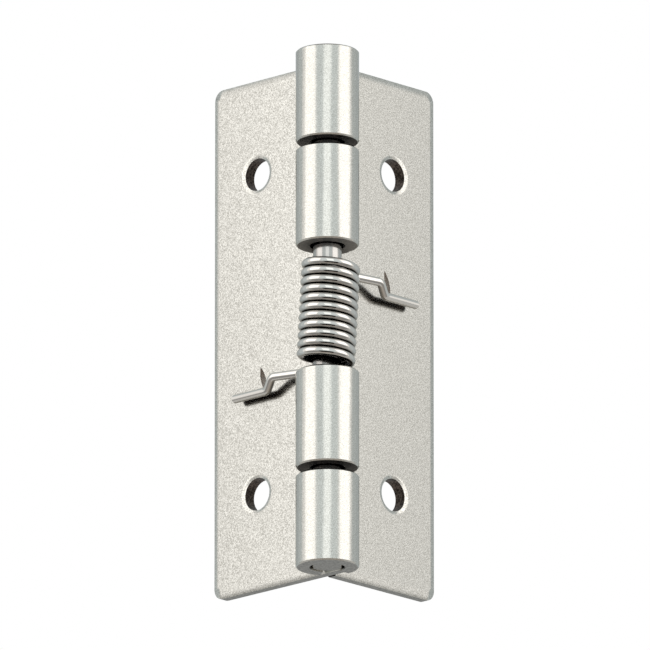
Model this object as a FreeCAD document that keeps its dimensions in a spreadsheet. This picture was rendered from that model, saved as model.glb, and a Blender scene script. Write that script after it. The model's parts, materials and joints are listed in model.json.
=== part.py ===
import FreeCAD, Part
import math
import os
import Sketcher

# Spring loaded butt hinge: two identical rolled leaves, a pin and a torsion spring.
# +Z runs along the pin. The origin is midway between the fixed leaf's screw holes, on its back face.
# That face looks along +Y, the fixed leaf runs to -X, and the resting swing leaf runs to +Y.

SIZES = [
    # Rolled leaf
    ("leaf_height", 75.9),
    ("leaf_reach", 25.3),
    ("sheet_gauge", 2.0),
    ("corner_radius", 1.6),
    ("edge_roll_width", 1.3),
    ("edge_roll_depth", 0.5),
    ("edge_break", 0.2),
    ("knuckle_diameter", 9.1),
    ("knuckle_rise", 0.3),
    ("outer_knuckle", 13.5),
    ("knuckle_gap", 1.2),
    ("seam_angle", 58.0),
    ("stop_clearance", 0.3),
    ("window_margin", 0.55),
    ("window_play", 2.82),
    # Screw holes and the slit that the spring leg hooks over
    ("hole_diameter", 4.8),
    ("hole_reach", 16.5),
    ("hole_spacing", 47.6),
    ("hole_roll_width", 0.6),
    ("hole_roll_depth", 0.2),
    ("slit_reach", 15.1),
    ("slit_height", 7.14),
    ("slit_length", 4.2),
    ("slit_width", 1.0),
    ("slit_tilt_angle", 16.0),
    # Pin
    ("pin_play", 0.5),
    ("pin_inset", 0.15),
    ("pin_edge", 0.2),
    ("stake_length", 1.5),
    ("stake_play", 0.06),
    ("stake_flat", 0.1),
    # Torsion spring
    ("wire_diameter", 1.25),
    ("wire_side_count", 8),
    ("coil_step_count", 20),
    ("bend_step_count", 4),
    ("coil_play", 0.95),
    ("coil_rub_gap", 0.14),
    ("coil_pitch", 1.33),
    ("coil_turn_count", 11.0),
    ("coil_lean_angle", 2.9),
    ("coil_seat_gap", 0.615),
    ("leg_lift_angle", 12.5),
    ("leg_tilt_angle", 1.2),
    ("leg_entry", 1.0),
    ("crank_reach", 11.45),
    ("crank_run", 1.75),
    ("crank_dip", 0.85),
    ("crank_drop", 1.57),
    ("crank_bend", 1.1),
    ("leg_tail", 6.45),
    # Rest position: how far the swing leaf is folded back past flat
    ("fold_angle", 90.0),
]

# Levels along the pin that both leaves share, written from the sheet's sizes
TOP = "(Sizes.leaf_height / 2 + Sizes.knuckle_rise)"
OUTER_SHOULDER = f"({TOP} - Sizes.outer_knuckle)"
INNER_SHOULDER = f"({OUTER_SHOULDER} - Sizes.knuckle_gap)"
WINDOW = "(Sizes.coil_pitch * Sizes.coil_turn_count + Sizes.wire_diameter + Sizes.window_play)"
BARREL = "Sizes.knuckle_diameter / 2"
BORE = f"({BARREL} - Sizes.sheet_gauge)"
NOTCH = f"({BARREL} + Sizes.stop_clearance)"
WINDOW_NOTCH = f"({NOTCH} + Sizes.window_margin)"
PAST_BARREL = "Sizes.knuckle_diameter"
PAST_END = "Sizes.leaf_height"
PIN = f"({BORE} - Sizes.pin_play)"
PIN_LENGTH = f"(2 * {TOP} - 2 * Sizes.pin_inset)"
STAKE = f"({BORE} - Sizes.stake_play)"
STAKE_FLAT = f"({PIN} + Sizes.stake_flat)"

# Share of the coil's lean that lies to the swing leaf's side of the pin at the coil's top
COIL_LEAN_SHARE = 2 / 3
# Share of the entry run that its bend takes up
ENTRY_SHARE = 0.99
# Share by which the swept wire's volume may miss its section times its length
WIRE_TOLERANCE = 0.01
# Lengths below this, in millimetres, count as nothing when edges are picked
FUZZ = 1e-6


def make_sheet(doc):
    sheet = doc.addObject("Spreadsheet::Sheet", "Sizes")
    for row, (alias, value) in enumerate(SIZES, start=1):
        sheet.set(f"A{row}", alias)
        sheet.set(f"B{row}", str(value))
        sheet.setAlias(f"B{row}", alias)
    doc.recompute()
    return sheet


def make_sketch(body, name, plane_role):
    sketch = body.newObject("Sketcher::SketchObject", name)
    plane = next(item for item in body.Origin.OriginFeatures if item.Role == plane_role)
    sketch.AttachmentSupport = [(plane, "")]
    sketch.MapMode = "FlatFace"
    return sketch


def bind(sketch, kind, references, value, expression):
    """Add a dimension to a sketch and bind it to the sheet."""
    index = sketch.addConstraint(Sketcher.Constraint(kind, *references, value))
    sketch.setExpression(f"Constraints[{index}]", expression)


def draw_polygon(sketch, corners):
    """Close a polygon whose corners are pairs of sheet expressions, measured from the sketch's origin."""
    points = []
    for across, along in corners:
        place = [float(sketch.evalExpression(text)) for text in (across, along)]
        points.append(FreeCAD.Vector(place[0], place[1], 0))
    first = sketch.GeometryCount
    count = len(points)
    for step in range(count):
        sketch.addGeometry(Part.LineSegment(points[step], points[(step + 1) % count]))
    for step in range(count):
        after = first + (step + 1) % count
        sketch.addConstraint(Sketcher.Constraint("Coincident", first + step, 2, after, 1))
    for step, (across, along) in enumerate(corners):
        bind(sketch, "DistanceX", (-1, 1, first + step, 1), points[step].x, across)
        bind(sketch, "DistanceY", (-1, 1, first + step, 1), points[step].y, along)


def cut_through(body, sketch, name):
    """Cut a sketch through the sheet from front to back."""
    before = body.Shape.Volume
    pocket = body.newObject("PartDesign::Pocket", name)
    pocket.Profile = sketch
    pocket.Type = "ThroughAll"
    pocket.SideType = "Symmetric"
    body.Document.recompute()
    if not body.Shape.Volume < before:
        raise RuntimeError(f"{name} cuts nothing")
    return pocket


def pad_along_pin(body, sketch, name, length):
    """Add a sketch to the body as a solid that runs both ways along the pin."""
    pad = body.newObject("PartDesign::Pad", name)
    pad.Profile = sketch
    pad.SideType = "Symmetric"
    pad.setExpression("Length", length)
    body.Document.recompute()
    return pad


def edges_where(feature, test):
    return [f"Edge{number}" for number, edge in enumerate(feature.Shape.Edges, start=1) if test(edge)]


def ease_edges(body, kind, name, test, size, second_size=None):
    """Fillet or chamfer the edges of the last feature that pass the test, a chamfer with one size or two."""
    base = body.Tip
    feature = body.newObject(f"PartDesign::{kind}", name)
    feature.Base = (base, edges_where(base, test))
    feature.setExpression("Radius" if kind == "Fillet" else "Size", size)
    if second_size:
        feature.ChamferType = "Two distances"
        feature.setExpression("Size2", second_size)
    body.Document.recompute()
    return feature


def draw_roll_section(sketch):
    """Roll seen along the pin, from where it leaves the flat sheet to a cut end that leaves a seam."""
    outer = float(sketch.evalExpression(BARREL))
    inner = float(sketch.evalExpression(BORE))
    seam = math.radians(float(sketch.evalExpression("90 + Sizes.seam_angle")))
    upright = math.radians(90)
    full = math.radians(360)
    axis = FreeCAD.Vector(0, 0, 0)
    up = FreeCAD.Vector(0, 0, 1)
    lip = [FreeCAD.Vector(radius * math.cos(seam), radius * math.sin(seam), 0) for radius in (outer, inner)]
    root = [FreeCAD.Vector(0, radius, 0) for radius in (inner, outer)]
    outer_arc = sketch.addGeometry(Part.ArcOfCircle(Part.Circle(axis, up, outer), seam, upright + full))
    lip_line = sketch.addGeometry(Part.LineSegment(*lip))
    inner_arc = sketch.addGeometry(Part.ArcOfCircle(Part.Circle(axis, up, inner), seam, upright + full))
    root_line = sketch.addGeometry(Part.LineSegment(*root))
    joins = [
        (outer_arc, 1, lip_line, 1),
        (lip_line, 2, inner_arc, 1),
        (inner_arc, 2, root_line, 1),
        (root_line, 2, outer_arc, 2),
        (outer_arc, 3, -1, 1),
        (inner_arc, 3, -1, 1),
    ]
    for join in joins:
        sketch.addConstraint(Sketcher.Constraint("Coincident", *join))
    sketch.addConstraint(Sketcher.Constraint("PointOnObject", outer_arc, 2, -2))
    sketch.addConstraint(Sketcher.Constraint("PointOnObject", inner_arc, 2, -2))
    bind(sketch, "Radius", (outer_arc,), outer, BARREL)
    bind(sketch, "Radius", (inner_arc,), inner, BORE)
    for line_end, radius in ((1, BARREL), (2, BORE)):
        place = lip[line_end - 1]
        bind(sketch, "DistanceX", (-1, 1, lip_line, line_end), place.x, f"-{radius} * sin(Sizes.seam_angle)")


def draw_lens(sketch):
    """Lens outline of the lanced slit, upright about the sketch's origin."""
    half = float(sketch.evalExpression("Sizes.slit_length / 2"))
    bulge = float(sketch.evalExpression("Sizes.slit_width / 2"))
    bow = (half ** 2 + bulge ** 2) / (2 * bulge)
    spread = math.asin(half / bow)
    up = FreeCAD.Vector(0, 0, 1)
    for facing in (0, math.pi):
        middle = FreeCAD.Vector((bulge - bow) * math.cos(facing), 0, 0)
        circle = Part.Circle(middle, up, bow)
        sketch.addGeometry(Part.ArcOfCircle(circle, facing - spread, facing + spread))
    sketch.addConstraint(Sketcher.Constraint("Coincident", 0, 2, 1, 1))
    sketch.addConstraint(Sketcher.Constraint("Coincident", 1, 2, 0, 1))
    for end, sign in ((2, ""), (1, "-")):
        sketch.addConstraint(Sketcher.Constraint("PointOnObject", 0, end, -2))
        height = half if end == 2 else -half
        bind(sketch, "DistanceY", (-1, 1, 0, end), height, f"{sign}Sizes.slit_length / 2")
    radius = "(Sizes.slit_length ^ 2 + Sizes.slit_width ^ 2) / (4 * Sizes.slit_width)"
    for arc in (0, 1):
        bind(sketch, "Radius", (arc,), bow, radius)


def make_leaf(doc, label):
    """One stamped and rolled leaf, about the pin axis, running to -X with its back at +Y."""
    body = doc.addObject("PartDesign::Body", label)
    body.Label = label

    # Flat blank with rounded outer corners, front edges rolled over by the punch and back edges deburred
    blank = make_sketch(body, "BlankSection", "XY_Plane")
    edge = "-Sizes.leaf_reach"
    draw_polygon(blank, [(edge, BORE), ("0", BORE), ("0", BARREL), (edge, BARREL)])
    pad_along_pin(body, blank, "Blank", "Sizes.leaf_height")
    reach = float(blank.evalExpression("Sizes.leaf_reach"))
    top = float(blank.evalExpression("Sizes.leaf_height / 2"))
    front = float(blank.evalExpression(BORE))
    back = float(blank.evalExpression(BARREL))

    def at_outer_corner(edge):
        middle = edge.CenterOfMass
        return abs(middle.x + reach) < FUZZ and abs(abs(middle.z) - top) < FUZZ

    def on_outline(edge, depth):
        box = edge.BoundBox
        at_depth = abs(box.YMin - depth) < FUZZ and abs(box.YMax - depth) < FUZZ
        return at_depth and box.XMin < -FUZZ

    ease_edges(body, "Fillet", "OuterCorners", at_outer_corner, "Sizes.corner_radius")
    ease_edges(
        body, "Chamfer", "RolledEdge", lambda edge: on_outline(edge, front),
        "Sizes.edge_roll_width", "Sizes.edge_roll_depth")
    ease_edges(body, "Chamfer", "DeburredEdge", lambda edge: on_outline(edge, back), "Sizes.edge_break")

    section = make_sketch(body, "RollSection", "XY_Plane")
    draw_roll_section(section)
    pad_along_pin(body, section, "Roll", f"2 * {TOP}")

    # Notches that clear the other leaf's two knuckles, and the window that clears the coil
    notches = make_sketch(body, "KnuckleNotches", "XZ_Plane")
    draw_polygon(notches, [
        (PAST_BARREL, INNER_SHOULDER),
        (PAST_BARREL, PAST_END),
        (f"-{NOTCH}", PAST_END),
        (f"-{NOTCH}", INNER_SHOULDER),
    ])
    draw_polygon(notches, [
        (PAST_BARREL, f"-{OUTER_SHOULDER}"),
        (PAST_BARREL, f"{WINDOW} / 2"),
        (f"-{WINDOW_NOTCH}", f"{WINDOW} / 2"),
        (f"-{WINDOW_NOTCH}", f"-{WINDOW} / 2"),
        (f"-{NOTCH}", f"-{WINDOW} / 2"),
        (f"-{NOTCH}", f"-{OUTER_SHOULDER}"),
    ])
    cut_through(body, notches, "CutNotches")

    holes = make_sketch(body, "ScrewHoles", "XZ_Plane")
    radius = float(holes.evalExpression("Sizes.hole_diameter / 2"))
    across = float(holes.evalExpression("-Sizes.hole_reach"))
    along = float(holes.evalExpression("Sizes.hole_spacing / 2"))
    for sign in (1, -1):
        middle = FreeCAD.Vector(across, sign * along, 0)
        circle = holes.addGeometry(Part.Circle(middle, FreeCAD.Vector(0, 0, 1), radius))
        bind(holes, "DistanceX", (-1, 1, circle, 3), middle.x, "-Sizes.hole_reach")
        bind(holes, "DistanceY", (-1, 1, circle, 3), middle.y, f"{sign} * Sizes.hole_spacing / 2")
        bind(holes, "Radius", (circle,), radius, "Sizes.hole_diameter / 2")
    cut_through(body, holes, "DrillHoles")

    slit = make_sketch(body, "LancedSlit", "XZ_Plane")
    slit.setExpression("AttachmentOffset.Base.x", "-Sizes.slit_reach")
    slit.setExpression("AttachmentOffset.Base.y", "-Sizes.slit_height")
    slit.setExpression("AttachmentOffset.Rotation.Angle", "Sizes.slit_tilt_angle")
    draw_lens(slit)
    cut_through(body, slit, "LanceSlit")

    def at_hole_front(edge):
        middle = edge.CenterOfMass
        return abs(middle.y - front) < FUZZ and abs(edge.Length - math.tau * radius) < FUZZ

    ease_edges(body, "Chamfer", "HoleRims", at_hole_front, "Sizes.hole_roll_width", "Sizes.hole_roll_depth")

    # Broken edges round both ends of both knuckles
    rims = make_sketch(body, "KnuckleRims", "YZ_Plane")
    inside = f"{BARREL} - 2 * Sizes.edge_break"
    outside = f"{BARREL} + Sizes.edge_break"
    ends = [(f"-{TOP}", -1), (f"-{OUTER_SHOULDER}", 1), (f"{WINDOW} / 2", -1), (INNER_SHOULDER, 1)]
    for level, way in ends:
        past = f"{level} + {way} * Sizes.edge_break"
        short = f"{level} - {way} * 2 * Sizes.edge_break"
        draw_polygon(rims, [(inside, past), (outside, short), (outside, past)])
    groove = body.newObject("PartDesign::Groove", "BreakRims")
    groove.Profile = rims
    groove.ReferenceAxis = (rims, ["V_Axis"])
    groove.Reversed = True
    groove.setExpression("Angle", "360 - Sizes.seam_angle")
    doc.recompute()
    return body


def make_pin(doc, label):
    """Plain pin whose two ends are staked wide enough to stay in the end knuckles' bores."""
    body = doc.addObject("PartDesign::Body", label)
    body.Label = label
    up = FreeCAD.Vector(0, 0, 1)
    axis = FreeCAD.Vector(0, 0, 0)
    shank = make_sketch(body, "Shank", "XY_Plane")
    radius = float(shank.evalExpression(PIN))
    circle = shank.addGeometry(Part.Circle(axis, up, radius))
    shank.addConstraint(Sketcher.Constraint("Coincident", circle, 3, -1, 1))
    bind(shank, "Radius", (circle,), radius, PIN)
    pad_along_pin(body, shank, "DrawnRod", PIN_LENGTH)

    # Staked end: the rod is struck flat on two sides, which spreads it front and back
    stake = make_sketch(body, "StakedEnd", "XY_Plane")
    stake.setExpression("AttachmentOffset.Base.z", f"{PIN_LENGTH} / 2")
    spread = float(stake.evalExpression(STAKE))
    flat = float(stake.evalExpression(STAKE_FLAT))
    corner = math.acos(flat / spread)
    rim = Part.Circle(axis, up, spread)
    heights = [spread * math.sin(corner), -spread * math.sin(corner)]
    right = [FreeCAD.Vector(flat, height, 0) for height in reversed(heights)]
    left = [FreeCAD.Vector(-flat, height, 0) for height in heights]
    stake.addGeometry(Part.LineSegment(*right))
    stake.addGeometry(Part.ArcOfCircle(rim, corner, math.pi - corner))
    stake.addGeometry(Part.LineSegment(*left))
    stake.addGeometry(Part.ArcOfCircle(rim, math.pi + corner, 2 * math.pi - corner))
    sides = stake.GeometryCount
    for side in range(sides):
        stake.addConstraint(Sketcher.Constraint("Coincident", side, 2, (side + 1) % sides, 1))
    for line, place, sign in ((0, flat, ""), (2, -flat, "-")):
        stake.addConstraint(Sketcher.Constraint("Vertical", line))
        bind(stake, "DistanceX", (-1, 1, line, 1), place, f"{sign}{STAKE_FLAT}")
    for arc in (1, 3):
        stake.addConstraint(Sketcher.Constraint("Coincident", arc, 3, -1, 1))
        bind(stake, "Radius", (arc,), spread, STAKE)
    head = body.newObject("PartDesign::Pad", "Stake")
    head.Profile = stake
    head.Reversed = True
    head.setExpression("Length", "Sizes.stake_length")
    doc.recompute()
    mirror = body.newObject("PartDesign::Mirrored", "BothEnds")
    mirror.Originals = [head]
    mirror.MirrorPlane = (next(item for item in body.Origin.OriginFeatures if item.Role == "XY_Plane"), [""])
    body.Tip = mirror
    doc.recompute()
    end = float(stake.evalExpression(f"{PIN_LENGTH} / 2"))

    def round_end(edge):
        return abs(abs(edge.CenterOfMass.z) - end) < FUZZ

    ease_edges(body, "Chamfer", "EndEdges", round_end, "Sizes.pin_edge")
    return body


def rounded_run(corners, radii, steps):
    """Points along straight runs through the corners, each inner corner turned at its radius in steps."""
    points = corners[:1]
    for before, corner, after, radius in zip(corners, corners[1:], corners[2:], radii):
        back = (before - corner).normalize()
        ahead = (after - corner).normalize()
        half_turn = (math.pi - back.getAngle(ahead)) / 2
        centre = corner + (back + ahead).normalize() * (radius / math.cos(half_turn))
        spoke = corner + back * (radius * math.tan(half_turn)) - centre
        for step in range(steps + 1):
            turn = FreeCAD.Rotation(ahead.cross(back), math.degrees(2 * half_turn * step / steps))
            points.append(centre + turn.multVec(spoke))
    return points + corners[-1:]


def draw_wire(points, diameter, sides):
    """Solid wire through the points, as runs of a polygon section that has the round wire's own area."""
    runs = [(after - before).normalize() for before, after in zip(points, points[1:])]
    headings = runs[:1] + [(before + after).normalize() for before, after in zip(runs, runs[1:])] + runs[-1:]
    step = 2 * math.pi / sides
    corner_radius = diameter / 2 * math.sqrt(step / math.sin(step))
    level = headings[0].cross(FreeCAD.Vector(0, 0, 1))
    sections = []
    for point, heading, run in zip(points, headings, runs + runs[-1:]):
        level = (level - heading * level.dot(heading)).normalize()
        upright = heading.cross(level)
        straightness = run.dot(heading)
        bend = run - heading * straightness
        corners = []
        for corner in range(sides):
            turn = (corner + 0.5) * step
            offset = (level * math.cos(turn) + upright * math.sin(turn)) * corner_radius
            mitre = bend * (offset.dot(bend) / (straightness * (1 + straightness)))
            corners.append(point + offset + mitre)
        sections.append(Part.makePolygon(corners + corners[:1]))
    return Part.makeLoft(sections, True, True)


def make_spring(doc, sheet, label):
    """Left-hand torsion spring about the pin, with X across both leaves and Y towards their backs.

    The lower leg runs out over the fixed leaf and the upper leg over the swing leaf. Each has a crank
    beside its leaf's slit and a straight tail along the leaf.
    """
    recede = sheet.fold_angle / 2
    exit_angle = recede - sheet.leg_lift_angle
    pin_radius = sheet.knuckle_diameter / 2 - sheet.sheet_gauge - sheet.pin_play
    coil_radius = pin_radius + sheet.coil_play + sheet.wire_diameter / 2
    turns = sheet.coil_turn_count - 2 * exit_angle / 360
    coil_height = sheet.coil_pitch * turns

    # The coil leans across the pin and bears on its back, so it stands forward of the pin's axis
    shift = sheet.coil_play - sheet.coil_rub_gap
    lean = math.radians(sheet.coil_lean_angle)
    top_shift = coil_height * math.sin(lean) * COIL_LEAN_SHARE
    forward = math.sqrt(shift ** 2 - top_shift ** 2)
    sideways = top_shift - coil_height * math.sin(lean) / 2
    window = sheet.coil_pitch * sheet.coil_turn_count + sheet.wire_diameter + sheet.window_play
    droop = coil_height / 2 + sheet.wire_diameter / 2 + coil_radius * math.sin(lean)
    height = droop + sheet.coil_seat_gap - window / 2

    coil = Part.makeHelix(sheet.coil_pitch, coil_height, coil_radius, 0, True)
    coil.translate(FreeCAD.Vector(0, 0, -coil_height / 2))
    coil.rotate(FreeCAD.Vector(0, 0, 0), FreeCAD.Vector(0, 0, 1), 90 - exit_angle)
    coil.rotate(FreeCAD.Vector(0, 0, 0), FreeCAD.Vector(0, 1, 0), sheet.coil_lean_angle)
    coil.translate(FreeCAD.Vector(sideways, -forward, height))
    helix = coil.Edges[0]

    def leg(side, start, heading):
        """Points of one leg, from the coil to its tip, on the leaf to that side."""
        angle = math.radians(recede)
        along = FreeCAD.Vector(side * math.cos(angle), math.sin(angle), 0)
        backwards = FreeCAD.Vector(-side * math.sin(angle), math.cos(angle), 0)
        angle = math.radians(exit_angle)
        slope = -side * math.tan(math.radians(sheet.leg_tilt_angle))
        run = FreeCAD.Vector(side * math.cos(angle), math.sin(angle), slope)
        entry = start + heading * sheet.leg_entry
        bend_in = entry + run * ((sheet.crank_reach - entry.dot(along)) / run.dot(along))
        drop = FreeCAD.Vector(0, 0, -sheet.crank_drop)
        bend_out = bend_in + along * sheet.crank_run + backwards * sheet.crank_dip + drop
        tip = bend_out + along * sheet.leg_tail
        entry_turn = heading.getAngle(run)
        entry_radius = ENTRY_SHARE * sheet.leg_entry / math.tan(entry_turn / 2)
        radii = [entry_radius, sheet.crank_bend, sheet.crank_bend]
        return rounded_run([start, entry, bend_in, bend_out, tip], radii, int(sheet.bend_step_count))

    low = helix.FirstParameter
    high = helix.LastParameter
    lower_leg = leg(-1, helix.valueAt(low), helix.tangentAt(low) * -1)
    upper_leg = leg(1, helix.valueAt(high), helix.tangentAt(high))
    coil_points = helix.discretize(round(sheet.coil_step_count * turns) + 1)
    points = lower_leg[::-1] + coil_points[1:-1] + upper_leg

    spring = doc.addObject("Part::Feature", label)
    spring.Label = label
    spring.Shape = draw_wire(points, sheet.wire_diameter, int(sheet.wire_side_count))
    length = sum(before.distanceToPoint(after) for before, after in zip(points, points[1:]))
    wire_volume = math.pi * sheet.wire_diameter ** 2 / 4 * length
    if abs(spring.Shape.Volume / wire_volume - 1) > WIRE_TOLERANCE:
        raise RuntimeError("the spring's wire isn't whole")
    return spring


doc = FreeCAD.newDocument("SpringHinge")
sheet = make_sheet(doc)
fixed_leaf = make_leaf(doc, "fixed_leaf")
swing_leaf = make_leaf(doc, "swing_leaf")
hinge_pin = make_pin(doc, "hinge_pin")
torsion_spring = make_spring(doc, sheet, "torsion_spring")

# Both leaves are one stamping: the swing leaf is turned end for end, then folded back about the pin
along_pin = FreeCAD.Vector(0, 0, 1)
end_for_end = FreeCAD.Rotation(FreeCAD.Vector(0, 1, 0), 180)
folded = FreeCAD.Rotation(along_pin, sheet.fold_angle)
half_folded = FreeCAD.Rotation(along_pin, sheet.fold_angle / 2)
pin_axis = FreeCAD.Vector(sheet.hole_reach, -sheet.knuckle_diameter / 2, 0)
fixed_leaf.Placement = FreeCAD.Placement(pin_axis, FreeCAD.Rotation())
swing_leaf.Placement = FreeCAD.Placement(pin_axis, folded * end_for_end)
hinge_pin.Placement = FreeCAD.Placement(pin_axis, half_folded)
torsion_spring.Placement = FreeCAD.Placement(pin_axis, half_folded)
doc.recompute()

for item in doc.Objects:
    if "Invalid" in item.State or "Error" in item.State:
        raise RuntimeError(f"{item.Label} failed: {item.State}")
pieces = [fixed_leaf, swing_leaf, hinge_pin, torsion_spring]
for piece in pieces:
    if piece.Shape.isNull() or not piece.Shape.isValid() or len(piece.Shape.Solids) != 1:
        raise RuntimeError(f"{piece.Label} has no sound solid")

os.makedirs("parts", exist_ok=True)
for piece in pieces:
    piece.Shape.exportStep(f"parts/{piece.Label}.step")
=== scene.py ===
import json
import math

import bpy
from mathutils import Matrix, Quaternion, Vector


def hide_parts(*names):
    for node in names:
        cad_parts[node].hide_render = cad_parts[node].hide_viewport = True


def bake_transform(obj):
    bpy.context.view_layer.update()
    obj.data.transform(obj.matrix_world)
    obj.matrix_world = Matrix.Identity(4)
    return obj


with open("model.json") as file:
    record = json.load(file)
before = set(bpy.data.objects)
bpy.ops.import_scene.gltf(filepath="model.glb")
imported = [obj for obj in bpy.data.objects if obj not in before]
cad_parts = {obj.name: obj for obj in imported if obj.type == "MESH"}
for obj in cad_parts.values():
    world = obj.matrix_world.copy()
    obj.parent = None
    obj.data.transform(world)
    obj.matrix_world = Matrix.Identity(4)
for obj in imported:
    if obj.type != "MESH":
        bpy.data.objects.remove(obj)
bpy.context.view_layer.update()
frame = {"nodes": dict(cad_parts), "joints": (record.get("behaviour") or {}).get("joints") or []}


# Leaves
# Both leaves are one stamping of 2 mm stainless sheet, blanked, punched and rolled round the pin.
# Tumbling left a matt, finely pitted skin, rolling burnished the knuckles, and the cut walls stayed dull.

MM = 0.001
UP = Vector((0, 0, 1))

LEAF_STEEL = "EAE7DF"
LEAF_STEEL_PITS = "A7A49C"
ROLLED_STEEL = "D6D3CB"
SHEARED_STEEL = ("8C8882", "B2AEA8")
# Punched hole walls: torn steel tones, made darker as painted shade for the shade inside the holes
PUNCHED_STEEL_AND_SHADE = ("2C2521", "80736A")
# Lanced slit walls: pale tones that are painted light, so that the slit shows little of its shade
LANCED_STEEL_PAINTED_LIGHT = ("CCC1B8", "E6DDD4")
SKIN_ROUGHNESS = 0.19
CUT_ROUGHNESS = 0.42

# Real pits and tears are too fine to show in the render, so both are drawn as coarse as they need to be.
PIT_SIZE = 0.16 * MM
PIT_DEPTH = 0.005 * MM
PIT_EDGES = (0.34, 0.66)
PIT_RAGGEDNESS = 0.6
TEAR_SIZE = 0.3 * MM
TEAR_EDGES = (0.35, 0.65)
TEAR_RELIEF = 0.6

# The roll is less pitted than the flat, which starts a little outside it.
ROLL_RADIUS = 4.55 * MM
FLAT_START = 5.4 * MM
ROLL_PITTING = 0.55

# Painted shade where other metal is near: full at the first open share of the surroundings or less, none
# from the second.
PAINTED_SHADE = "2A211C"
SHADE_REACH = 3.5 * MM
SHADE_RAYS = 8
SKIN_SHADE_SHARES = (0.12, 0.42)
CUT_SHADE_SHARES = (0.5, 0.98)
SLIT_SHADE_SHARES = (0.0, 0.12)

# Places of the Mix node's two colours among its inputs, and of its colour among its outputs
MIX_FIRST = 6
MIX_SECOND = 7
MIX_COLOUR = 2

pin_axis = Vector(frame["joints"][0]["pos_m"])


def srgb(code):
    """Linear colour, with alpha, of an sRGB hex code."""
    channels = [int(code[place:place + 2], 16) / 255 for place in (0, 2, 4)]
    return [c / 12.92 if c <= 0.04045 else ((c + 0.055) / 1.055) ** 2.4 for c in channels] + [1.0]


def add_node(tree, kind, values=None, links=None, **settings):
    """Add a node, set its own settings and input values, and link its inputs from other nodes' outputs."""
    node = tree.nodes.new(kind)
    for name, setting in settings.items():
        setattr(node, name, setting)
    for socket, value in (values or {}).items():
        node.inputs[socket].default_value = value
    for socket, (source, output) in (links or {}).items():
        tree.links.new(source.outputs[output], node.inputs[socket])
    return node


def bare_steel(name, roughness):
    """New metal material, with its node tree and its shader."""
    material = bpy.data.materials.new(name)
    material.use_nodes = True
    shader = material.node_tree.nodes["Principled BSDF"]
    shader.inputs["Metallic"].default_value = 1.0
    shader.inputs["Roughness"].default_value = roughness
    return material, material.node_tree, shader


def painted_crevice_shade(tree, shader, shares):
    """Paint shade onto the shader where other metal is near, and return the mix that takes the clean steel.
    """
    nearby = add_node(tree, "ShaderNodeAmbientOcclusion", {"Distance": SHADE_REACH}, samples=SHADE_RAYS)
    shade_amount = add_node(
        tree, "ShaderNodeMapRange",
        {"From Min": shares[0], "From Max": shares[1], "To Min": 1.0, "To Max": 0.0},
        {"Value": (nearby, "AO")})
    shaded_mix = add_node(
        tree, "ShaderNodeMix", {MIX_SECOND: srgb(PAINTED_SHADE)}, {0: (shade_amount, "Result")}, data_type="RGBA")
    tree.links.new(shaded_mix.outputs[MIX_COLOUR], shader.inputs["Base Color"])
    return shaded_mix


def tumbled_sheet():
    """Tumbled stainless sheet: pale, finely pitted, matt on the flat and smoother where it was rolled, with
    painted shade where other metal is near.
    """
    material, tree, shader = bare_steel("tumbled_stainless_sheet", SKIN_ROUGHNESS)
    place = add_node(tree, "ShaderNodeTexCoord")
    pits = add_node(
        tree, "ShaderNodeTexNoise",
        {"Scale": 1 / PIT_SIZE, "Detail": 2.0, "Roughness": PIT_RAGGEDNESS}, {"Vector": (place, "Object")})
    shade = add_node(tree, "ShaderNodeValToRGB", links={"Fac": (pits, "Fac")})
    for stop, edge, steel in zip(shade.color_ramp.elements, PIT_EDGES, (LEAF_STEEL_PITS, LEAF_STEEL)):
        stop.position = edge
        stop.color = srgb(steel)
    across = add_node(
        tree, "ShaderNodeVectorMath", {1: (1, 1, 0)}, {0: (place, "Object")}, operation="MULTIPLY")
    from_pin = add_node(
        tree, "ShaderNodeVectorMath", {1: (pin_axis.x, pin_axis.y, 0)}, {0: (across, "Vector")},
        operation="DISTANCE")
    pitted = add_node(
        tree, "ShaderNodeMapRange",
        {"From Min": ROLL_RADIUS, "From Max": FLAT_START, "To Min": ROLL_PITTING, "To Max": 1.0},
        {"Value": (from_pin, "Value")})
    skin = add_node(
        tree, "ShaderNodeMix", {MIX_FIRST: srgb(ROLLED_STEEL)},
        {0: (pitted, "Result"), MIX_SECOND: (shade, "Color")}, data_type="RGBA")
    shaded_mix = painted_crevice_shade(tree, shader, SKIN_SHADE_SHARES)
    tree.links.new(skin.outputs[MIX_COLOUR], shaded_mix.inputs[MIX_FIRST])
    relief = add_node(
        tree, "ShaderNodeBump", {"Distance": PIT_DEPTH},
        {"Height": (pits, "Fac"), "Strength": (pitted, "Result")})
    tree.links.new(relief.outputs["Normal"], shader.inputs["Normal"])
    return material


def cut_edge(name, shades, shade_shares):
    """Wall that a press or a saw cut through the steel: torn, so duller than the skin, in the two given
    tones, mostly darker, with painted shade where other metal is near.
    """
    material, tree, shader = bare_steel(name, CUT_ROUGHNESS)
    place = add_node(tree, "ShaderNodeTexCoord")
    tears = add_node(
        tree, "ShaderNodeTexNoise", {"Scale": 1 / TEAR_SIZE, "Detail": 3.0}, {"Vector": (place, "Object")})
    shade = add_node(tree, "ShaderNodeValToRGB", links={"Fac": (tears, "Fac")})
    for stop, edge, steel in zip(shade.color_ramp.elements, TEAR_EDGES, shades):
        stop.position = edge
        stop.color = srgb(steel)
    shaded_mix = painted_crevice_shade(tree, shader, shade_shares)
    tree.links.new(shade.outputs["Color"], shaded_mix.inputs[MIX_FIRST])
    relief = add_node(
        tree, "ShaderNodeBump", {"Strength": TEAR_RELIEF, "Distance": PIT_DEPTH},
        {"Height": (tears, "Fac")})
    tree.links.new(relief.outputs["Normal"], shader.inputs["Normal"])
    return material


# Face weight that Blender's weighted normals read as strong
STRONG = 16384
FLAT_MATCH = 0.9999
WELD_REACH = 0.001 * MM
SHARP_ANGLE = math.radians(24)


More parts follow.
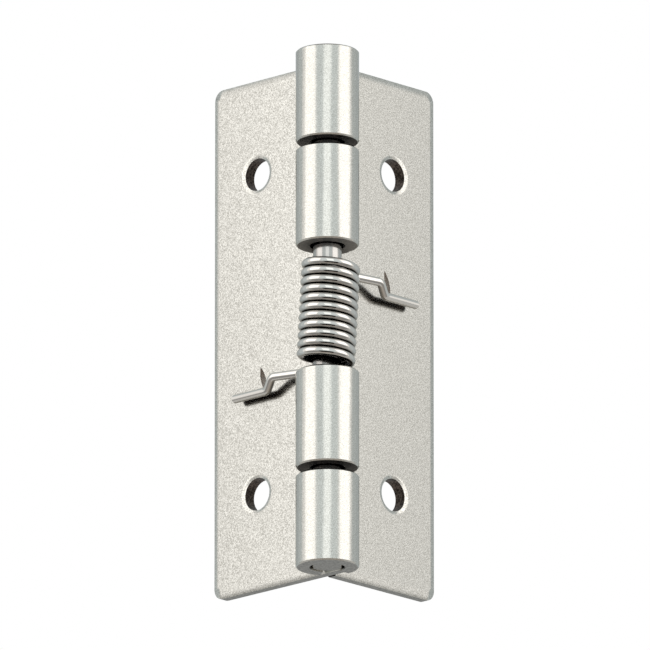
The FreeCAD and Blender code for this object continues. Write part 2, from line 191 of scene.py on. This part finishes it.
def smooth_shaded(piece, flat_way):
    """Shade a frame node's loose triangles smooth up to its sharp edges, with its flat faces kept flat."""
    strength = piece.data.attributes.new("__mod_weightednormals_faceweight", "INT", "FACE")
    for face in piece.data.polygons:
        strength.data[face.index].value = STRONG if abs(face.normal.dot(flat_way)) > FLAT_MATCH else 0
    weld = piece.modifiers.new("Weld", "WELD")
    weld.merge_threshold = WELD_REACH
    split = piece.modifiers.new("Edge split", "EDGE_SPLIT")
    split.split_angle = SHARP_ANGLE
    normals = piece.modifiers.new("Weighted normals", "WEIGHTED_NORMAL")
    normals.keep_sharp = True
    normals.use_face_influence = True
    piece.data.polygons.foreach_set("use_smooth", [True] * len(piece.data.polygons))


SKIN, SHEARED, PUNCHED, LANCED = range(4)
leaf_finishes = [
    tumbled_sheet(),
    cut_edge("sheared_stainless_edge", SHEARED_STEEL, CUT_SHADE_SHARES),
    cut_edge("punched_stainless_wall", PUNCHED_STEEL_AND_SHADE, CUT_SHADE_SHARES),
    cut_edge("lanced_stainless_wall", LANCED_STEEL_PAINTED_LIGHT, SLIT_SHADE_SHARES),
]

# Holes and slit lie between the notches and the outline of the leaf, and the slit nearest mid height.
NOTCH_REACH = 10 * MM
OUTLINE_REACH = 24 * MM
OUTLINE_RISE = 37 * MM
SLIT_RISE = 15 * MM
END_MATCH = 0.95
WALL_MATCH = 0.2


def leaf_finish(face, sheet_normal):
    """Place of a leaf's face among its finishes: the skin, a cut outline or end, a hole or the slit."""
    reach = (face.center - pin_axis).xy.length
    rise = abs(face.center.z)
    if reach < FLAT_START:
        return SHEARED if abs(face.normal.z) > END_MATCH else SKIN
    if abs(face.normal.dot(sheet_normal)) >= WALL_MATCH:
        return SKIN
    if NOTCH_REACH < reach < OUTLINE_REACH and rise < OUTLINE_RISE:
        return LANCED if rise < SLIT_RISE else PUNCHED
    return SHEARED


for name, sheet_normal in (("fixed_leaf", Vector((0, 1, 0))), ("swing_leaf", Vector((1, 0, 0)))):
    leaf = frame["nodes"][name]
    leaf.data.materials.clear()
    for finish in leaf_finishes:
        leaf.data.materials.append(finish)
    for face in leaf.data.polygons:
        face.material_index = leaf_finish(face, sheet_normal)
    smooth_shaded(leaf, sheet_normal)


# Pin
# A length of drawn steel rod, cut and staked over at both ends so that it stays in the end knuckles.
# The die left it smooth and shinier than the leaves, with a faint grain.

PIN_STEEL = "C6C2BC"
PIN_ROUGHNESS = 0.12
# Open shares of the surroundings for the pin's painted shade
PIN_SHADE_SHARES = (0.15, 0.6)

# The real grain is too fine to show, so it is drawn coarser. Its roughness swings between two shares.
GRAIN_SIZE = 0.12 * MM
GRAIN_EDGES = (0.3, 0.7)
GRAIN_SWING = (0.8, 1.3)


def drawn_steel(name, colour, roughness, shade_shares):
    """Bright drawn steel: smooth, with a faint grain that breaks up its highlights, and painted shade where
    other metal is near.
    """
    material, tree, shader = bare_steel(name, roughness)
    shaded_mix = painted_crevice_shade(tree, shader, shade_shares)
    shaded_mix.inputs[MIX_FIRST].default_value = srgb(colour)
    place = add_node(tree, "ShaderNodeTexCoord")
    grain = add_node(
        tree, "ShaderNodeTexNoise", {"Scale": 1 / GRAIN_SIZE, "Detail": 2.0}, {"Vector": (place, "Object")})
    smoother, rougher = (roughness * share for share in GRAIN_SWING)
    rough = add_node(
        tree, "ShaderNodeMapRange",
        {"From Min": GRAIN_EDGES[0], "From Max": GRAIN_EDGES[1], "To Min": smoother, "To Max": rougher},
        {"Value": (grain, "Fac")})
    tree.links.new(rough.outputs["Result"], shader.inputs["Roughness"])
    return material


pin = frame["nodes"]["hinge_pin"]
pin.data.materials.clear()
pin.data.materials.append(drawn_steel("drawn_steel_rod", PIN_STEEL, PIN_ROUGHNESS, PIN_SHADE_SHARES))
pin.data.materials.append(cut_edge("sawn_steel_end", SHEARED_STEEL, CUT_SHADE_SHARES))
for face in pin.data.polygons:
    face.material_index = int(abs(face.normal.z) > END_MATCH)
smooth_shaded(pin, UP)


# Torsion spring
# One left-hand coil of bright drawn spring wire, wound close and hung loosely on the pin.
# Its lower leg bears on the fixed leaf and its upper leg on the swing leaf, each with a crank by the slit.

WIRE_STEEL = "DEDAD3"
WIRE_ROUGHNESS = 0.06
# Open shares of the surroundings for the wire's painted shade
WIRE_SHADE_SHARES = (0.25, 0.95)
WIRE_RADIUS = 0.625 * MM
WIRE_FACETS = 6
WIRE_SHARP_ANGLE = math.radians(40)
COIL_RADIUS = 3.625 * MM
COIL_PITCH = 1.33 * MM
COIL_TURNS = 10.8194
COIL_LEAN = math.radians(2.9)
COIL_SHIFT = Vector((0.121 * MM, -0.6485 * MM, -0.7316 * MM))
POINTS_PER_TURN = 48
LEAF_ANGLE = math.radians(45)
EXIT_ANGLE = math.radians(32.5)
LEG_TILT = math.radians(1.2)
LEG_ENTRY = 1.0 * MM
ENTRY_SHARE = 0.99
CRANK_REACH = 11.45 * MM
CRANK_RUN = 1.75 * MM
CRANK_DIP = 0.85 * MM
CRANK_DROP = 1.57 * MM
CRANK_BEND = 1.1 * MM
LEG_TAIL = 6.45 * MM
BEND_STEPS = 8
SMALL_TURN = 0.001


def coil_point(turn):
    """Point of the coil's centre line, that many turns up from its lower end, from the middle of the pin."""
    angle = math.pi / 2 - EXIT_ANGLE - turn * 2 * math.pi
    height = (turn - COIL_TURNS / 2) * COIL_PITCH
    upright = Vector((COIL_RADIUS * math.cos(angle), COIL_RADIUS * math.sin(angle), height))
    return Quaternion((0, 1, 0), COIL_LEAN) @ upright + COIL_SHIFT


def round_corners(corners, radii):
    """Points along straight runs through the corners, with each inner corner turned at its radius."""
    points = corners[:1]
    for before, corner, after, radius in zip(corners, corners[1:], corners[2:], radii):
        back = (before - corner).normalized()
        ahead = (after - corner).normalized()
        half_turn = (math.pi - back.angle(ahead)) / 2
        centre = corner + (back + ahead).normalized() * (radius / math.cos(half_turn))
        spoke = corner + back * (radius * math.tan(half_turn)) - centre
        for step in range(BEND_STEPS + 1):
            turn = Quaternion(ahead.cross(back).normalized(), 2 * half_turn * step / BEND_STEPS)
            points.append(centre + turn @ spoke)
    return points + corners[-1:]


def leg_points(side, start, heading):
    """Points of one leg, from the coil to its tip, along the leaf to that side."""
    along = Vector((side * math.cos(LEAF_ANGLE), math.sin(LEAF_ANGLE), 0))
    backwards = Vector((-side * math.sin(LEAF_ANGLE), math.cos(LEAF_ANGLE), 0))
    run = Vector((side * math.cos(EXIT_ANGLE), math.sin(EXIT_ANGLE), -side * math.tan(LEG_TILT)))
    entry = start + heading * LEG_ENTRY
    bend_in = entry + run * ((CRANK_REACH - entry.dot(along)) / run.dot(along))
    bend_out = bend_in + along * CRANK_RUN + backwards * CRANK_DIP - UP * CRANK_DROP
    tip = bend_out + along * LEG_TAIL
    entry_radius = ENTRY_SHARE * LEG_ENTRY / math.tan(heading.angle(run) / 2)
    return round_corners([start, entry, bend_in, bend_out, tip], [entry_radius, CRANK_BEND, CRANK_BEND])


low = coil_point(0)
high = coil_point(COIL_TURNS)
lower_leg = leg_points(-1, low, (low - coil_point(SMALL_TURN)).normalized())
upper_leg = leg_points(1, high, (high - coil_point(COIL_TURNS - SMALL_TURN)).normalized())
steps = round(COIL_TURNS * POINTS_PER_TURN)
coil = [coil_point(COIL_TURNS * step / steps) for step in range(1, steps)]
turned = Quaternion(UP, LEAF_ANGLE)
path = [turned @ point + pin_axis for point in lower_leg[::-1] + coil + upper_leg]

curve = bpy.data.curves.new("torsion_spring_wire", "CURVE")
curve.dimensions = "3D"
curve.bevel_depth = WIRE_RADIUS
curve.bevel_resolution = WIRE_FACETS
curve.use_fill_caps = True
spline = curve.splines.new("POLY")
spline.points.add(len(path) - 1)
for knot, point in zip(spline.points, path):
    knot.co = (*point, 1.0)
bpy.ops.object.select_all(action="DESELECT")
spring = bpy.data.objects.new("torsion_spring_wire", curve)
bpy.context.scene.collection.objects.link(spring)
bpy.context.view_layer.objects.active = spring
spring.select_set(True)
bpy.ops.object.convert(target="MESH")
bpy.ops.object.shade_smooth_by_angle(angle=WIRE_SHARP_ANGLE)
spring.data.materials.clear()
spring.data.materials.append(drawn_steel("drawn_spring_wire", WIRE_STEEL, WIRE_ROUGHNESS, WIRE_SHADE_SHARES))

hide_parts("torsion_spring")
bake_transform(spring)


# Studio light
# White surroundings, with two tall soft boxes beside the hinge and a smaller one in front of it.
# Grey cards round the hinge, which only its metal sees, give the dark lines that a studio gives to steel.

VIEW_AZIMUTH = math.radians(43.7)
WHITE = (1, 1, 1, 1)
SURROUNDINGS_LEVEL = 0.6
BACKDROP_LEVEL = 1.0
CARD_STEPS = 24
CARD_DISTANCE = 0.6
LAMP_DISTANCE = 0.5
NEUTRAL = (1.0, 1.0, 1.0)
COOL = (0.92, 1.0, 1.03)
WARM = (1.0, 0.93, 0.86)

towards = Vector((math.sin(VIEW_AZIMUTH), -math.cos(VIEW_AZIMUTH), 0))
right = Vector((math.cos(VIEW_AZIMUTH), math.sin(VIEW_AZIMUTH), 0))

world = bpy.data.worlds.new("white_surroundings")
bpy.context.scene.world = world
world.use_nodes = True
tree = world.node_tree
surroundings = tree.nodes["Background"]
surroundings.inputs["Color"].default_value = WHITE
surroundings.inputs["Strength"].default_value = SURROUNDINGS_LEVEL
backdrop = add_node(tree, "ShaderNodeBackground", {"Color": WHITE, "Strength": BACKDROP_LEVEL})
rays = add_node(tree, "ShaderNodeLightPath")
mirrored = add_node(
    tree, "ShaderNodeMath",
    links={0: (rays, "Is Glossy Ray"), 1: (rays, "Is Transmission Ray")}, operation="MAXIMUM")
seen = add_node(
    tree, "ShaderNodeMath", links={0: (rays, "Is Camera Ray"), 1: (mirrored, "Value")}, operation="MAXIMUM")
either = add_node(
    tree, "ShaderNodeMixShader",
    links={0: (seen, "Value"), 1: (surroundings, "Background"), 2: (backdrop, "Background")})
tree.links.new(either.outputs["Shader"], tree.nodes["World Output"].inputs["Surface"])
world.cycles.sampling_method = "NONE"


def dome_way(angle, rise):
    """Way out from the pin at an angle from the view and a rise, both in degrees."""
    angle = math.radians(angle)
    rise = math.radians(rise)
    level_way = towards * math.cos(angle) + right * math.sin(angle)
    return level_way * math.cos(rise) + UP * math.sin(rise)


def grey_card(name, level, angles, rises, colour=NEUTRAL):
    """Curved card round the pin, between two angles from the view and two rises, as bright as its level."""
    bpy.ops.mesh.primitive_grid_add(x_subdivisions=CARD_STEPS, y_subdivisions=CARD_STEPS, size=1)
    card = bpy.context.object
    card.name = name
    for vertex in card.data.vertices:
        angle = angles[0] + (vertex.co.x + 0.5) * (angles[1] - angles[0])
        rise = rises[0] + (vertex.co.y + 0.5) * (rises[1] - rises[0])
        vertex.co = pin_axis + dome_way(angle, rise) * CARD_DISTANCE
    material = bpy.data.materials.new(name)
    material.use_nodes = True
    tree = material.node_tree
    glow = add_node(tree, "ShaderNodeEmission", {"Color": (*colour, 1), "Strength": level})
    tree.links.new(glow.outputs["Emission"], tree.nodes["Material Output"].inputs["Surface"])
    card.data.materials.append(material)
    card.visible_camera = False
    card.visible_diffuse = False
    card.visible_shadow = False


grey_card("front_card", level=0.85, angles=(-42, 40), rises=(-18, 62), colour=COOL)
grey_card("front_low_card", level=0.025, angles=(-34, 28), rises=(-54, -18), colour=WARM)
grey_card("under_card", level=0.42, angles=(-98, 94), rises=(-90, -54), colour=WARM)
grey_card("left_low_card", level=0.30, angles=(-98, -34), rises=(-54, -22))
grey_card("right_low_card", level=0.30, angles=(28, 94), rises=(-54, -22))
grey_card("left_high_card", level=0.85, angles=(-98, -42), rises=(48, 62))
grey_card("right_high_card", level=0.85, angles=(40, 94), rises=(48, 62))
grey_card("overhead_card", level=0.34, angles=(-180, 180), rises=(62, 90))
grey_card("left_side_card", level=0.66, angles=(-128, -103), rises=(-30, 62), colour=COOL)
grey_card("right_side_card", level=0.60, angles=(98, 128), rises=(-30, 62), colour=COOL)
grey_card("left_rear_card", level=0.52, angles=(-180, -128), rises=(-30, 62), colour=COOL)
grey_card("right_rear_card", level=0.52, angles=(128, 180), rises=(-30, 62), colour=COOL)


def soft_box(name, level, angles, rises):
    """Area light facing the pin, between two angles from the view and two rises, as bright as its level."""
    lamp = bpy.data.lights.new(name, "AREA")
    lamp.shape = "RECTANGLE"
    lamp.size = 2 * LAMP_DISTANCE * math.tan(math.radians(angles[1] - angles[0]) / 2)
    lamp.size_y = 2 * LAMP_DISTANCE * math.tan(math.radians(rises[1] - rises[0]) / 2)
    lamp.energy = level * math.pi * lamp.size * lamp.size_y
    box = bpy.data.objects.new(name, lamp)
    bpy.context.scene.collection.objects.link(box)
    out = dome_way(sum(angles) / 2, sum(rises) / 2)
    box.location = pin_axis + out * LAMP_DISTANCE
    box.rotation_euler = out.to_track_quat("Z", "Y").to_euler()
    box.visible_camera = False


soft_box("left_soft_box", level=0.66, angles=(-87, -45), rises=(-8, 44))
soft_box("right_soft_box", level=0.72, angles=(45, 87.5), rises=(-8, 44))
soft_box("front_soft_box", level=0.55, angles=(-14, 12), rises=(-4, 46))


# Floor
# A wide board in matt off-white paint, far below the hinge.
# The camera looks up past it, so it shows only in other views.

FLOOR_WIDTH = 14
FLOOR_DROP = 1.5
FLOOR_PAINT = "F7F7F5"
FLOOR_ROUGHNESS = 0.9

bpy.ops.mesh.primitive_plane_add(size=FLOOR_WIDTH, location=(0, 0, -FLOOR_DROP))
floor = bpy.context.object
floor.name = "pale_floor"
paint = bpy.data.materials.new("pale_floor_paint")
paint.use_nodes = True
shader = paint.node_tree.nodes["Principled BSDF"]
shader.inputs["Base Color"].default_value = srgb(FLOOR_PAINT)
shader.inputs["Roughness"].default_value = FLOOR_ROUGHNESS
floor.data.materials.append(paint)


# Camera
# A long lens, square to the barrel and a little below the hinge, as the photograph was taken.
# AXIS_PIXEL is where the middle of the pin lies in the photograph's frame.

LENS = 1163.0
SENSOR = 36.0
VIEW_DISTANCE = 3.0
LOOK_UP = math.radians(15.6)
FRAME_PIXELS = 650
AXIS_PIXEL = Vector((327.4, 308.9))

camera = bpy.data.cameras.new("camera")
camera.lens = LENS
camera.sensor_width = SENSOR
viewpoint = bpy.data.objects.new("camera", camera)
bpy.context.scene.collection.objects.link(viewpoint)
back = towards * math.cos(LOOK_UP) - UP * math.sin(LOOK_UP)
view_up = UP * math.cos(LOOK_UP) + towards * math.sin(LOOK_UP)
pixel = VIEW_DISTANCE * SENSOR / LENS / FRAME_PIXELS
off_centre = Vector((FRAME_PIXELS / 2 - AXIS_PIXEL.x, AXIS_PIXEL.y - FRAME_PIXELS / 2)) * pixel
centre = pin_axis + right * off_centre.x + view_up * off_centre.y
viewpoint.location = centre + back * VIEW_DISTANCE
viewpoint.rotation_euler = back.to_track_quat("Z", "Y").to_euler()
bpy.context.scene.camera = viewpoint
bpy.context.scene.view_settings.view_transform = "Standard"
